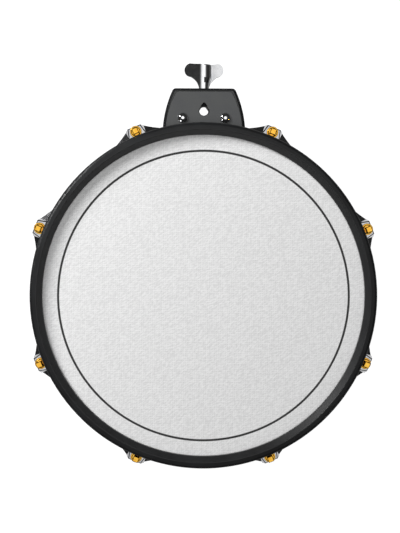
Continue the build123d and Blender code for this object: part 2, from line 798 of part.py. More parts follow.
def make_jack_plate():
    bottom = jack_z - jack_plate_height / 2
    top = jack_z + jack_plate_height / 2
    half = jack_plate_width / 2
    plate = ring(shell_radius, jack_plate_outer, bottom, top) & block(0, far, -half, half, bottom, top)
    seat = rod_x(jack_seat_radius, shell_inner, jack_seat_face, 0, jack_z)
    plate += seat - cylinder(shell_radius, 0, shell_top)
    plate -= rod_x(jack_bush_radius + jack_bush_clearance, shell_inner, far, 0, jack_z)
    plate = at_jack(plate)
    for screw in jack_screws():
        plate -= screw
    return plate


def make_jack():
    body_front = shell_inner - jack_body_gap
    half_width = jack_body_width / 2
    half_height = jack_body_height / 2
    body = block(body_front - jack_body_length, body_front, -half_width, half_width,
                 jack_z - half_height, jack_z + half_height)
    bush = rod_x(jack_bush_radius, body_front - overcut, jack_mouth, 0, jack_z)
    bore = rod_x(jack_bore_radius, jack_mouth - jack_bore_length, jack_mouth + overcut, 0, jack_z)
    return at_jack(body + bush - bore)


def make_jack_nut():
    hexagon = extrude(RegularPolygon(jack_nut_size / 2, 6, major_radius=False), amount=jack_nut_thickness)
    nut = Pos(jack_seat_face, 0, jack_z) * Rot(0, 90, 0) * hexagon
    return at_jack(nut - rod_x(jack_bush_radius, shell_inner, far, 0, jack_z))


# Trigger parts inside the shell

def brace_screws():
    screws = []
    face = shell_inner - brace_thickness
    seat = face - brace_boss
    level = brace_top - (brace_thickness + brace_tab_depth) / 2
    for angle in (0, 180):
        for y in (-brace_screw_y, brace_screw_y):
            shank = rod_x(brace_screw_radius, seat, face + brace_screw_length, y, level)
            head = rod_x(brace_screw_head, seat - brace_screw_head_height, seat, y, level)
            screws.append(Rot(0, 0, angle) * (shank + head))
    return screws


def make_brace():
    bar = block(-shell_inner, shell_inner, -brace_half_width, brace_half_width, brace_z, brace_top)
    bar &= cylinder(shell_inner - brace_thickness / 2, brace_z, brace_top)
    bottom = brace_top - brace_tab_depth
    tab_ring = ring(shell_inner - brace_thickness, shell_inner - brace_tab_gap, bottom, brace_top)
    for x0, x1 in ((0, far), (-far, 0)):
        bar += tab_ring & block(x0, x1, -brace_half_width, brace_half_width, bottom, brace_top)
    for screw in brace_screws():
        bar -= screw
    return bar


def make_sensor_base():
    return cylinder(sensor_base_radius, brace_top, sensor_top)


def make_tape():
    return cylinder(tape_radius, sensor_top, sensor_top + tape_thickness)


def make_head_piezo():
    bottom = sensor_top + tape_thickness
    brass = cylinder(piezo_radius, bottom, bottom + piezo_thickness)
    return brass + cylinder(ceramic_radius, bottom + piezo_thickness, cone_bottom)


def make_foam_cone():
    return turned([(0, cone_bottom), (cone_base_radius, cone_bottom),
                   (cone_tip_radius, shell_top), (0, shell_top)])


def make_rim_pad():
    half = rim_pad_size / 2
    return block(rim_sensor_x - half, rim_sensor_x + half, -half, half, brace_top, brace_top + tape_thickness)


def make_rim_piezo():
    bottom = brace_top + tape_thickness
    brass = cylinder(piezo_radius, bottom, bottom + piezo_thickness)
    top = bottom + piezo_thickness
    return Pos(rim_sensor_x, 0, 0) * (brass + cylinder(ceramic_radius, top, top + ceramic_thickness))


def board_screw_places():
    return [(board_x + sx * board_screw_x, sy * board_screw_y) for sx, sy in ((-1, -1), (1, 1))]


def make_board():
    board = block(board_x - board_length / 2, board_x + board_length / 2, -board_width / 2, board_width / 2,
                  board_bottom, board_top)
    board += block(board_x - terminal_length / 2, board_x + terminal_length / 2,
                   -terminal_width / 2, terminal_width / 2, board_top, board_top + terminal_height)
    for x, y in board_screw_places():
        board -= Pos(x, y, 0) * cylinder(board_screw_radius, board_bottom - overcut, board_top + overcut)
    return board


def make_board_spacer(x, y):
    return Pos(x, y, 0) * ring(board_screw_radius, board_spacer_radius, brace_top, board_bottom)


def make_board_screw(x, y):
    shank = cylinder(board_screw_radius, brace_top, board_top)
    head = cylinder(board_screw_head, board_top, board_top + board_screw_head_height)
    return Pos(x, y, 0) * (shank + head)


def make_lead(points, bend):
    """A round lead along straight runs joined by arcs."""
    path = FilletPolyline(points, radius=bend)
    start = Plane(origin=path @ 0, z_dir=path % 0)
    return sweep(start * Circle(lead_radius), path=path)


def lead_routes():
    """Both sensor leads run over the brace into the side of the board's terminal."""
    over_brace = brace_top + lead_radius + lead_clearance
    terminal_z = board_top + terminal_height / 2
    terminal_x = board_x + terminal_length / 2
    base_edge = sensor_base_radius + lead_clearance
    head_y = terminal_width / 2 - lead_radius - lead_clearance
    head_z = sensor_top + tape_thickness / 2
    head = [(-tape_radius - lead_clearance, head_y, head_z), (-base_edge - 4, head_y, head_z),
            (-base_edge - 12, head_y, terminal_z), (terminal_x, head_y, terminal_z)]
    rim_z = brace_top + tape_thickness / 2
    rim_edge = rim_sensor_x - rim_pad_size / 2
    rim = [(rim_edge, 0, rim_z), (rim_edge - 12, 0, over_brace), (base_edge + 10, -14, over_brace),
           (0, -base_edge - 6, over_brace + 6), (-base_edge - 8, -16, terminal_z - 2),
           (terminal_x + 16, -head_y, terminal_z), (terminal_x, -head_y, terminal_z)]
    return {"head_sensor_lead": (head, head_lead_bend), "rim_sensor_lead": (rim, rim_lead_bend)}


def make_jack_lead():
    """From the board's terminal across to the back of the jack."""
    turn = math.radians(jack_angle)
    back = shell_inner - jack_body_gap - jack_body_length
    end = (back * math.cos(turn), back * math.sin(turn), jack_z)
    straight = back - 2 * jack_lead_bend
    near = (straight * math.cos(turn), straight * math.sin(turn), jack_z)
    terminal_z = board_top + terminal_height / 2
    side = 0.4 * shell_radius
    route = [(board_x, terminal_width / 2, terminal_z), (board_x, brace_half_width + 10, terminal_z),
             (board_x + 30, side - 10, jack_z + 12), (-10, side + 6, jack_z + 2), near, end]
    return make_lead(route, jack_lead_bend)


# The assembly

nodes["rubber_base_sheet"] = make_base_sheet()
nodes["bottom_cover"] = make_cover()
nodes["bottom_cover_screws"] = group(around(make_cover_screw(), cover_screw_angles))
nodes["drum_shell"] = make_shell()
nodes["mesh_head"] = make_mesh_disc()
nodes["mesh_collar"] = make_mesh_collar()
nodes["flesh_hoop"] = make_flesh_hoop()
nodes["cast_hoop"] = make_cast_hoop()
nodes["hoop_rubber_cover"] = make_rubber_cover()
nodes["tension_rod_washers"] = group(around(make_rod_washer(), rod_angles))
nodes["lug_swivel_nuts"] = group(around(make_swivel_nut(), rod_angles))
nodes["lug_gaskets"] = group(around(make_lug_gasket(), rod_angles))
lug_screws = []
lug_washers = []
for level in lug_screw_levels():
    lug_screws += around(make_lug_screw(level), rod_angles)
    lug_washers += around(make_lug_washer(level), rod_angles)
nodes["lug_screws"] = group(lug_screws)
nodes["lug_screw_washers"] = group(lug_washers)
for number, angle in enumerate(rod_angles, 1):
    nodes[f"tension_rod_{number}"] = Rot(0, 0, angle) * make_tension_rod()
    nodes[f"lug_casing_{number}"] = Rot(0, 0, angle) * make_lug()
nodes["bracket_body"] = make_bracket()
nodes["bracket_face_plate"] = make_bracket_plate()
nodes["bracket_plate_screws"] = group([make_plate_screw(x) for x in (-plate_screw_x, plate_screw_x)])
nodes["bracket_gasket"] = make_bracket_gasket()
nodes["bracket_backing_plate"] = make_backing_plate()
nodes["bracket_bolts"] = group([make_bracket_bolt(x, z) for x, z in bracket_bolt_places()])
nodes["eyebolt_bush"] = make_bush()
nodes["eyebolt"] = make_eyebolt()
nodes["wing_nut"] = make_wing_nut()
nodes["jack_plate"] = make_jack_plate()
nodes["jack_plate_screws"] = group(jack_screws())
nodes["output_jack"] = make_jack()
nodes["jack_nut"] = make_jack_nut()
nodes["trigger_brace"] = make_brace()
nodes["trigger_brace_screws"] = group(brace_screws())
nodes["sensor_base"] = make_sensor_base()
nodes["head_piezo_tape"] = make_tape()
nodes["head_piezo"] = make_head_piezo()
nodes["foam_cone"] = make_foam_cone()
nodes["rim_piezo_pad"] = make_rim_pad()
nodes["rim_piezo"] = make_rim_piezo()
nodes["wiring_board"] = make_board()
nodes["board_spacers"] = group([make_board_spacer(x, y) for x, y in board_screw_places()])
nodes["board_screws"] = group([make_board_screw(x, y) for x, y in board_screw_places()])
for name, (points, bend) in lead_routes().items():
    nodes[name] = make_lead(points, bend)
nodes["jack_lead"] = make_jack_lead()

os.makedirs("parts", exist_ok=True)
for name, shape in nodes.items():
    export_step(shape, f"parts/{name}.step")
print(len(nodes), "nodes written")
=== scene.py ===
import math

import bmesh
import bpy
from mathutils import Matrix, Vector, noise


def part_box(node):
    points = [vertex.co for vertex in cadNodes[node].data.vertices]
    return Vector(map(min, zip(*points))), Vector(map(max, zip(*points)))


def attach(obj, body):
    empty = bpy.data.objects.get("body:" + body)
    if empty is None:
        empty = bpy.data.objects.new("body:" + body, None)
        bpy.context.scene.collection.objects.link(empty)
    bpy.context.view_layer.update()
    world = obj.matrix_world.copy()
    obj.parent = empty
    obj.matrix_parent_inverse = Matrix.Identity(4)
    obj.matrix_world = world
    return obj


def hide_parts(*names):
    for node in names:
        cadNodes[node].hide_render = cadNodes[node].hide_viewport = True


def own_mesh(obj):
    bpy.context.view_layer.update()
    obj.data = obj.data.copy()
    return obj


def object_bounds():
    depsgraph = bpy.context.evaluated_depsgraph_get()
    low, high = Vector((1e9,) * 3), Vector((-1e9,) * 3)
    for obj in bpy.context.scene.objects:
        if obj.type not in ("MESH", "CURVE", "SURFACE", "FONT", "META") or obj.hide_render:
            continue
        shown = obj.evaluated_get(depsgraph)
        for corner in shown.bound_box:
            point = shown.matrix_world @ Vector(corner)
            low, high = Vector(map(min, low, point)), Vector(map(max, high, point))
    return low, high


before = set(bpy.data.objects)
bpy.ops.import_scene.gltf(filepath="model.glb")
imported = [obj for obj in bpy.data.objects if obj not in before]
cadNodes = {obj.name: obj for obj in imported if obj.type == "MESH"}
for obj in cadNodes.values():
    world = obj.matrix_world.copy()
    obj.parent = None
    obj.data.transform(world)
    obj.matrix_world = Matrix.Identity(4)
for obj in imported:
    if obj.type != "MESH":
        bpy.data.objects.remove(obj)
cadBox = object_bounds()
scene = bpy.context.scene
mm = 0.001
tiny = 1e-6                    # lengths below this count as nothing
waveUnit = math.pi / 10        # the wave texture repeats every pi / 10 at scale 1
noiseBand = (0.35, 0.65)       # most of a noise texture's values lie between these
wideNoiseBand = (0.3, 0.7)
# the low parts of every grain are drawn darker: painted shade in its hollows
usualGrainPaintedShade = 0.08          # how much darker the low parts of a grain are
rodNumbers = range(1, 9)
print("frame loaded:", len(cadNodes), "pieces")


# turns an sRGB hex colour to linear
def linearColour(hexCode):
    channels = [int(hexCode[i:i + 2], 16) / 255 for i in (1, 3, 5)]
    linear = [c / 12.92 if c <= 0.04045 else ((c + 0.055) / 1.055) ** 2.4 for c in channels]
    return (*linear, 1.0)


# adds a node with its settings, and links or sets its inputs by name or by number
# (a colour Mix takes its factor at 0 and its two colours at 6 and 7, and gives the result at 2)
def addNode(tree, kind, settings=None, inputs=None):
    node = tree.nodes.new(kind)
    for name, value in (settings or {}).items():
        setattr(node, name, value)
    for key, value in (inputs or {}).items():
        if isinstance(value, bpy.types.NodeSocket):
            tree.links.new(value, node.inputs[key])
        else:
            node.inputs[key].default_value = value
    return node


def newMaterial(name):
    material = bpy.data.materials.new(name)
    material.use_nodes = True
    material.node_tree.nodes.clear()
    return material, material.node_tree


# these keys of a look go straight onto the shader's own sockets
shaderSockets = {"ior": "IOR", "coat": "Coat Weight", "coatRoughness": "Coat Roughness",
                 "sheen": "Sheen Weight", "sheenRoughness": "Sheen Roughness",
                 "metallic": "Metallic", "specular": "Specular IOR Level"}


def finishMaterial(tree, look, colour, roughness, height):
    bump = addNode(tree, "ShaderNodeBump", None,
                   {"Height": height, "Distance": look["grainDepthMm"] * mm})
    skin = addNode(tree, "ShaderNodeBsdfPrincipled", None,
                   {"Base Color": colour, "Roughness": roughness, "Normal": bump.outputs[0]})
    for key, socket in shaderSockets.items():
        if key in look:
            skin.inputs[socket].default_value = look[key]
    addNode(tree, "ShaderNodeOutputMaterial", None, {"Surface": skin.outputs[0]})


# two tones and a roughness that drift over the piece, with a finer grain in bump and in painted
# shade on its low parts
def makeSurface(name, look):
    material, tree = newMaterial(name)
    place = addNode(tree, "ShaderNodeTexCoord").outputs["Object"]
    tone = addNode(tree, "ShaderNodeTexNoise", None,
                   {"Vector": place, "Scale": 1 / (look["toneMm"] * mm), "Detail": 4.0}).outputs[0]
    stretched = addNode(tree, "ShaderNodeMapping", None,
                        {"Vector": place, "Scale": look.get("grainStretch", (1, 1, 1))}).outputs[0]
    grainScale = 1 / (look["grainMm"] * mm)
    pattern = look.get("grain", "noise")
    if pattern == "cells":
        grain = addNode(tree, "ShaderNodeTexVoronoi", None,
                        {"Vector": stretched, "Scale": grainScale}).outputs[0]
    elif pattern == "bands":
        grain = addNode(tree, "ShaderNodeTexWave", {"bands_direction": look["bandsAlong"]},
                        {"Vector": stretched, "Scale": grainScale * waveUnit,
                         "Distortion": 1.5, "Detail": 2.0}).outputs["Fac"]
    else:
        grain = addNode(tree, "ShaderNodeTexNoise", None,
                        {"Vector": stretched, "Scale": grainScale, "Detail": 3.0}).outputs[0]
    drift = addNode(tree, "ShaderNodeMapRange", None,
                    {"Value": tone, "From Min": noiseBand[0], "From Max": noiseBand[1]}).outputs[0]
    dark, light = look["tones"]
    tint = addNode(tree, "ShaderNodeMix", {"data_type": "RGBA"},
                   {0: drift, 6: linearColour(dark), 7: linearColour(light)}).outputs[2]
    # painted shade: the colour is darkened where the grain's bump is low
    grainPaintedShade = look.get("grainPaintedShade", usualGrainPaintedShade)
    shade = addNode(tree, "ShaderNodeMapRange", None,
                    {"Value": grain, "To Min": 1 - grainPaintedShade, "To Max": 1.0}).outputs[0]
    colour = addNode(tree, "ShaderNodeMix", {"data_type": "RGBA", "blend_type": "MULTIPLY"},
                     {0: 1.0, 6: tint, 7: shade}).outputs[2]
    smoothest, roughest = look["roughness"]
    rough = addNode(tree, "ShaderNodeMapRange", None,
                    {"Value": tone, "From Min": wideNoiseBand[0], "From Max": wideNoiseBand[1],
                     "To Min": smoothest, "To Max": roughest}).outputs[0]
    finishMaterial(tree, look, colour, rough, grain)
    return material


def paint(material, nodeNames):
    for nodeName in nodeNames:
        mesh = cadNodes[nodeName].data
        mesh.materials.clear()
        mesh.materials.append(material)


# Materials of the hard pieces, named for what they are and how the surface was made. A grain that
# is finer than about half a millimetre on the real piece is drawn coarser, so that it shows.

finishes = {
    # moulded EPDM: satin black, a soft broad highlight, with a fine stone grain from the mould
    "mouldedRubber": {"tones": ("#131314", "#191a1b"), "toneMm": 30,
                      "grainMm": 0.9, "grainDepthMm": 0.03,
                      "roughness": (0.34, 0.44), "ior": 1.52,
                      "nodes": ["hoop_rubber_cover"]},
    # calendered rubber sheet: dull, dusty black, with a fine pebble pressed into it
    "sheetRubber": {"tones": ("#141414", "#1d1d1c"), "toneMm": 22,
                    "grain": "cells", "grainMm": 1.4, "grainDepthMm": 0.08,
                    "roughness": (0.7, 0.85), "ior": 1.52,
                    "nodes": ["rubber_base_sheet"]},
    # die-cast zinc, polished and black-nickel plated: a smoky mirror with a little orange peel
    "blackNickelCasting": {"tones": ("#a9a9ab", "#b7b7b8"), "toneMm": 18,
                           "grainMm": 5, "grainDepthMm": 0.02,
                           "metallic": 1.0, "roughness": (0.08, 0.16),
                           "nodes": ["cast_hoop"] + [f"lug_casing_{i}" for i in rodNumbers]},
    # polished steel with gold plate: warm, bright, with small soft smears
    "goldPlatedSteel": {"tones": ("#d89d34", "#eaba4e"), "toneMm": 4,
                        "grainMm": 1.2, "grainDepthMm": 0.01,
                        "metallic": 1.0, "roughness": (0.08, 0.18),
                        "nodes": ["tension_rod_washers"]
                                 + [f"tension_rod_{i}" for i in rodNumbers]},
    # polished chrome plate: near-white mirror
    "chromePlate": {"tones": ("#dcdddf", "#ebebec"), "toneMm": 6,
                    "grainMm": 3, "grainDepthMm": 0.008,
                    "metallic": 1.0, "roughness": (0.05, 0.12),
                    "nodes": ["wing_nut", "bracket_plate_screws", "jack_nut"]},
    # black chromate over zinc on a forged bolt: near black, with a tight dull sheen
    "blackZincPlate": {"tones": ("#1b1b1d", "#242426"), "toneMm": 5,
                       "grainMm": 0.8, "grainDepthMm": 0.01,
                       "metallic": 1.0, "roughness": (0.3, 0.42),
                       "nodes": ["eyebolt"]},
    # bright zinc on turned or pressed steel: grey-blue, with short drawn streaks
    "zincPlatedSteel": {"tones": ("#a9acaf", "#c2c5c8"), "toneMm": 5,
                        "grainMm": 0.8, "grainDepthMm": 0.01, "grainStretch": (1, 0.15, 1),
                        "metallic": 1.0, "roughness": (0.25, 0.4),
                        "nodes": ["eyebolt_bush", "trigger_brace", "board_screws",
                                  "board_spacers"]},
    # black oxide steel: oily dark grey that shows a dull sheen on edges
    "blackOxideSteel": {"tones": ("#2c2d2f", "#3a3b3d"), "toneMm": 4,
                        "grainMm": 0.6, "grainDepthMm": 0.01,
                        "metallic": 1.0, "roughness": (0.35, 0.5),
                        "nodes": ["bottom_cover_screws", "lug_screws", "lug_screw_washers",
                                  "bracket_bolts", "trigger_brace_screws",
                                  "bracket_backing_plate", "jack_plate_screws"]},
    # turned brass: yellow, with the fine rings of the cutting tool
    "turnedBrass": {"tones": ("#b99a52", "#cfb166"), "toneMm": 6,
                    "grain": "bands", "bandsAlong": "Z", "grainMm": 0.5, "grainDepthMm": 0.01,
                    "metallic": 1.0, "roughness": (0.2, 0.35),
                    "nodes": ["lug_swivel_nuts", "head_piezo", "rim_piezo"]},
    # rolled aluminium: pale satin, with streaks round the ring
    "rolledAluminium": {"tones": ("#b9bbbd", "#cdcfd1"), "toneMm": 12,
                        "grainMm": 1.0, "grainDepthMm": 0.01, "grainStretch": (1, 1, 4),
                        "metallic": 1.0, "roughness": (0.28, 0.4),
                        "nodes": ["flesh_hoop"]},
    # birch ply, sprayed with black lacquer: deep gloss with a faint orange peel
    "blackLacquer": {"tones": ("#0c0c0d", "#131315"), "toneMm": 60,
                     "grainMm": 3.5, "grainDepthMm": 0.02,
                     "roughness": (0.16, 0.24), "coat": 0.6, "coatRoughness": 0.06, "ior": 1.5,
                     "nodes": ["drum_shell"]},
    # ABS from a spark-eroded mould: a matt pebble that is drawn at 1 mm so that it shows
    "texturedAbs": {"tones": ("#1b1c1d", "#232425"), "toneMm": 40,
                    "grainMm": 1.0, "grainDepthMm": 0.06,
                    "roughness": (0.5, 0.62), "ior": 1.54,
                    "nodes": ["bottom_cover"]},
    # glass-filled nylon, moulded and waxed: satin black with a soft edge gleam
    "satinNylon": {"tones": ("#0f1011", "#151617"), "toneMm": 20,
                   "grainMm": 0.8, "grainDepthMm": 0.02,
                   "roughness": (0.2, 0.27), "ior": 1.53,
                   "nodes": ["bracket_body", "jack_plate", "output_jack", "sensor_base"]},
    # grey nylon from a blasted mould: even, matt, dark grey
    "mattGreyNylon": {"tones": ("#454647", "#4a4b4b"), "toneMm": 16,
                      "grainMm": 0.7, "grainDepthMm": 0.03,
                      "roughness": (0.55, 0.65), "ior": 1.53,
                      "nodes": ["bracket_face_plate"]},
    # compressed fibre gasket: dull charcoal with short fibres
    "fibreGasket": {"tones": ("#202020", "#303030"), "toneMm": 3,
                    "grainMm": 0.7, "grainDepthMm": 0.05, "grainStretch": (1, 1, 0.3),
                    "roughness": (0.8, 0.95), "ior": 1.5,
                    "nodes": ["lug_gaskets", "bracket_gasket"]},
    # glass-epoxy board under green solder resist: glossy, with a faint glass weave
    "solderResist": {"tones": ("#0f4a2a", "#14603a"), "toneMm": 5,
                     "grain": "bands", "bandsAlong": "X", "grainMm": 0.6, "grainDepthMm": 0.01,
                     "roughness": (0.2, 0.3), "ior": 1.55,
                     "nodes": ["wiring_board"]},
    # PVC insulation, extruded: black, soft gloss, with faint draw lines
    "extrudedPvc": {"tones": ("#161616", "#202020"), "toneMm": 8,
                    "grainMm": 0.4, "grainDepthMm": 0.02,
                    "roughness": (0.4, 0.5), "ior": 1.53,
                    "nodes": ["head_sensor_lead", "rim_sensor_lead", "jack_lead"]},
}

for finishName, look in finishes.items():
    paint(makeSurface(finishName, look), look["nodes"])
print("hard pieces painted:", len(finishes), "finishes")


# turns a profile of (radius, height) points round the pad's axis, where radius 0 closes the piece
def turnProfile(shape, profile, steps, closed=True):
    angles = [2 * math.pi * k / steps for k in range(steps)]
    rings = []
    for radius, height in profile:
        if radius < tiny:
            rings.append([shape.verts.new((0, 0, height))])
            continue
        rings.append([shape.verts.new((radius * math.cos(a), radius * math.sin(a), height))
                      for a in angles])
    pairs = list(zip(rings, rings[1:]))
    if closed:
        pairs.append((rings[-1], rings[0]))
    for lower, upper in pairs:
        if len(lower) == 1 and len(upper) == 1:
            continue
        for k in range(steps):
            after = (k + 1) % steps
            corners = [lower[0]] if len(lower) == 1 else [lower[k], lower[after]]
            corners += [upper[0]] if len(upper) == 1 else [upper[after], upper[k]]
            shape.faces.new(corners)


def newPiece(name, shape, material, body):
    bmesh.ops.recalc_face_normals(shape, faces=shape.faces)
    for face in shape.faces:
        face.smooth = True
    mesh = bpy.data.meshes.new(name)
    shape.to_mesh(mesh)
    shape.free()
    mesh.materials.append(material)
    piece = bpy.data.objects.new(name, mesh)
    scene.collection.objects.link(piece)
    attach(piece, body)
    return piece


# The playing head: two plies of woven polyester mesh, stretched over the bearing edge

meshHeadLook = {
    "threadTones": ("#d0d0d0", "#e1e1e1"),
    "threadMm": 2.0,          # the real threads are near 0.6 mm apart, drawn coarser to show
    # painted shade: the gaps between the threads are drawn darker
    "weavePaintedShade": 0.14,        # how much darker the gaps between the threads are
    "streakMm": 1.3,          # streaks where the two plies beat against each other
    "streakStretch": 2.6,
    "streakSlant": 30,
    "ringRadiusMm": 158.4,    # the printed ring
    "ringWidthMm": 2.4,
    "inkBleedMm": 0.2,        # along the threads, to either side of the ring's edges
    "inkTones": ("#2b2b2b", "#343434"),
    "grainDepthMm": 0.06,
    "sheen": 0.15, "sheenRoughness": 0.5, "ior": 1.5, "specular": 0.25,
    "roughness": (0.6, 0.75),
}


# woven polyester: matt pale grey, with a fine square weave and faint slanting streaks, and painted
# shade in the gaps between the threads
def makeWovenMesh(name, look, printed):
    material, tree = newMaterial(name)
    place = addNode(tree, "ShaderNodeTexCoord").outputs["Object"]
    threadScale = waveUnit / (look["threadMm"] * mm)
    warp, weft = [addNode(tree, "ShaderNodeTexWave", {"bands_direction": direction},
                          {"Vector": place, "Scale": threadScale,
                           "Distortion": 0.4, "Detail": 1.0}).outputs["Fac"]
                  for direction in ("X", "Y")]
    weave = addNode(tree, "ShaderNodeMath", {"operation": "MAXIMUM"},
                    {0: warp, 1: weft}).outputs[0]
    slanted = addNode(tree, "ShaderNodeMapping", {"vector_type": "TEXTURE"},
                      {"Vector": place, "Rotation": (0, 0, math.radians(look["streakSlant"])),
                       "Scale": (look["streakStretch"], 1, 1)}).outputs[0]
    streak = addNode(tree, "ShaderNodeTexNoise", None,
                     {"Vector": slanted, "Scale": 1 / (look["streakMm"] * mm),
                      "Detail": 2.0}).outputs[0]
    streakAmount = addNode(tree, "ShaderNodeMapRange", None,
                           {"Value": streak, "From Min": noiseBand[0],
                            "From Max": noiseBand[1]}).outputs[0]
    dark, light = look["threadTones"]
    cloth = addNode(tree, "ShaderNodeMix", {"data_type": "RGBA"},
                    {0: streakAmount, 6: linearColour(dark), 7: linearColour(light)}).outputs[2]
    # painted shade: the colour is darkened in the gaps between threads, where the weave's bump is
    # low
    shade = addNode(tree, "ShaderNodeMapRange", None,
                    {"Value": weave, "To Min": 1 - look["weavePaintedShade"], "To Max": 1.0}).outputs[0]
    colour = addNode(tree, "ShaderNodeMix", {"data_type": "RGBA", "blend_type": "MULTIPLY"},
                     {0: 1.0, 6: cloth, 7: shade}).outputs[2]
    if printed:
        flat = addNode(tree, "ShaderNodeVectorMath", {"operation": "MULTIPLY"},
                       {0: place, 1: (1, 1, 0)}).outputs[0]
        radius = addNode(tree, "ShaderNodeVectorMath", {"operation": "LENGTH"},
                         {0: flat}).outputs["Value"]
        fromRing = addNode(tree, "ShaderNodeMath", {"operation": "SUBTRACT"},
                           {0: radius, 1: look["ringRadiusMm"] * mm}).outputs[0]
        offRing = addNode(tree, "ShaderNodeMath", {"operation": "ABSOLUTE"},
                          {0: fromRing}).outputs[0]
        half, bleed = look["ringWidthMm"] / 2 * mm, look["inkBleedMm"] * mm
        inked = addNode(tree, "ShaderNodeMapRange", {"interpolation_type": "SMOOTHSTEP"},
                        {"Value": offRing, "From Min": half - bleed, "From Max": half + bleed,
                         "To Min": 1.0, "To Max": 0.0}).outputs[0]
        inkDark, inkLight = look["inkTones"]
        # the ink is drawn darker in the gaps between threads too: painted shade
        ink = addNode(tree, "ShaderNodeMix", {"data_type": "RGBA"},
                      {0: weave, 6: linearColour(inkDark), 7: linearColour(inkLight)}).outputs[2]
        colour = addNode(tree, "ShaderNodeMix", {"data_type": "RGBA"},
                         {0: inked, 6: colour, 7: ink}).outputs[2]
    smoothest, roughest = look["roughness"]
    rough = addNode(tree, "ShaderNodeMapRange", None,
                    {"Value": streak, "To Min": smoothest, "To Max": roughest}).outputs[0]
    finishMaterial(tree, look, colour, rough, weave)
    return material


headLow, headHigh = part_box("mesh_head")
collarLow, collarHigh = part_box("mesh_collar")
meshHeadShape = {
    "thickness": 0.4 * mm,
    "turnSteps": 8,           # facets of the turn over the bearing edge
    "roundSteps": 256,
    "flatRings": 12,
    "collarRows": 6,
    "collarPull": 0.08 * mm,  # how far the band draws in between bearing edge and flesh hoop
    "collarInnerShare": 0.5,  # of that pull, on the band's inner face
}


# gives the head's shape, and the radius of the flat disc it is cut from
def buildMeshHead():
    thickness = meshHeadShape["thickness"]
    turnSteps, flatRings = meshHeadShape["turnSteps"], meshHeadShape["flatRings"]
    turnRadius = headHigh.z - headLow.z
    flatRadius = headHigh.x - turnRadius
    flatRadii = [flatRadius * k / flatRings for k in range(flatRings + 1)]
    turnAngles = [math.pi / 2 * (1 - k / turnSteps) for k in range(1, turnSteps + 1)]
    outside = [(r, headHigh.z) for r in flatRadii]
    outside += [(flatRadius + turnRadius * math.cos(a), headLow.z + turnRadius * math.sin(a))
                for a in turnAngles]
    inner = turnRadius - thickness
    inside = [(flatRadius + inner * math.cos(a), headLow.z + inner * math.sin(a))
              for a in reversed(turnAngles)]
    inside += [(r, headHigh.z - thickness) for r in reversed(flatRadii)]
    shape = bmesh.new()
    turnProfile(shape, outside + inside, meshHeadShape["roundSteps"], closed=False)
    return shape, flatRadius + turnRadius * math.pi / 2


def buildMeshCollar():
    outer = collarHigh.x
    inner = outer - meshHeadShape["thickness"]
    rows, innerShare = meshHeadShape["collarRows"], meshHeadShape["collarInnerShare"]
    heights = [collarHigh.z + (collarLow.z - collarHigh.z) * k / rows for k in range(rows + 1)]
    pull = [meshHeadShape["collarPull"] * math.sin(math.pi * k / rows) for k in range(rows + 1)]
    outside = [(outer - p, z) for p, z in zip(pull, heights)]
    inside = [(inner - p * innerShare, z) for p, z in zip(pull, heights)]
    shape = bmesh.new()
    turnProfile(shape, outside + inside[::-1], meshHeadShape["roundSteps"])
    return shape


wovenMesh = makeWovenMesh("wovenPolyesterMesh", meshHeadLook, printed=True)
plainMesh = makeWovenMesh("wovenPolyesterCollar", meshHeadLook, printed=False)
headShape, cutRadius = buildMeshHead()
meshHead = newPiece("playing_mesh", headShape, wovenMesh, "shell")
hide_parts("mesh_head")
meshCollar = newPiece("mesh_collar_band", buildMeshCollar(), plainMesh, "shell")
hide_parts("mesh_collar")
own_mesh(meshCollar)
print("mesh head built, cut to a disc of", round(2 * cutRadius / mm, 1), "mm")


# The foam parts under the head

foamLook = {
    # open-cell polyurethane foam, hot-wire cut: charcoal, with pits of about 1 mm whose colour is
    # halved: painted shade in the pits
    "tones": ("#2d2d2e", "#3b3b3c"), "toneMm": 9,
    "grain": "cells", "grainMm": 1.1, "grainDepthMm": 0.35, "grainPaintedShade": 0.5,
    "roughness": (0.9, 1.0), "ior": 1.4, "sheen": 0.2, "sheenRoughness": 0.6,
}
openCellFoam = makeSurface("openCellFoam", foamLook)

foamShape = {
    "fill": 1.0,
    "roundSteps": 72,
    "coneTipRadius": 8 * mm,
    "coneRows": 14,
    "edgeRound": 1.2 * mm,
    "sag": 0.6 * mm,          # how far the cone's side pulls in at mid height
    "unevenness": 0.12 * mm,  # from the hot wire
    "unevenPitch": 5 * mm,
    "cutBias": 0.5,           # the wire cuts in more than it leaves standing
    "evenEnds": 0.08,         # the share of the height, at either end, that stays even
    "tapeEdge": 0.4 * mm,
    "padCorner": 2 * mm,
    "padEdge": 0.3 * mm,
}


# a little unevenness from the hot wire, kept away from the faces that touch other pieces
def roughenSide(shape, low, high):
    evenEnds = foamShape["evenEnds"]
    for vert in shape.verts:
        share = (vert.co.z - low) / (high - low)
        if evenEnds < share < 1 - evenEnds:
            out = Vector((vert.co.x, vert.co.y, 0))
            if out.length > tiny:
                push = noise.noise(vert.co / foamShape["unevenPitch"]) - foamShape["cutBias"]
                vert.co += out.normalized() * push * foamShape["unevenness"]


# the profile of a cone with rounded edges, from the middle of its base to the middle of its tip
def roundedSide(lowRadius, highRadius, low, high, edge):
    rows = foamShape["coneRows"]
    side = []
    for k in range(rows + 1):
        t = k / rows
        radius = lowRadius + (highRadius - lowRadius) * t
        height = low + edge + (high - low - 2 * edge) * t
        side.append((radius - foamShape["sag"] * math.sin(math.pi * t), height))
    bottom = [(lowRadius - edge * (1 - math.sin(a)), low + edge * (1 - math.cos(a)))
              for a in (0, math.pi / 6, math.pi / 3)]
    top = [(highRadius - edge * (1 - math.cos(a)), high - edge * (1 - math.sin(a)))
           for a in (math.pi / 6, math.pi / 3, math.pi / 2)]
    return [(0, low)] + bottom + side + top + [(0, high)]


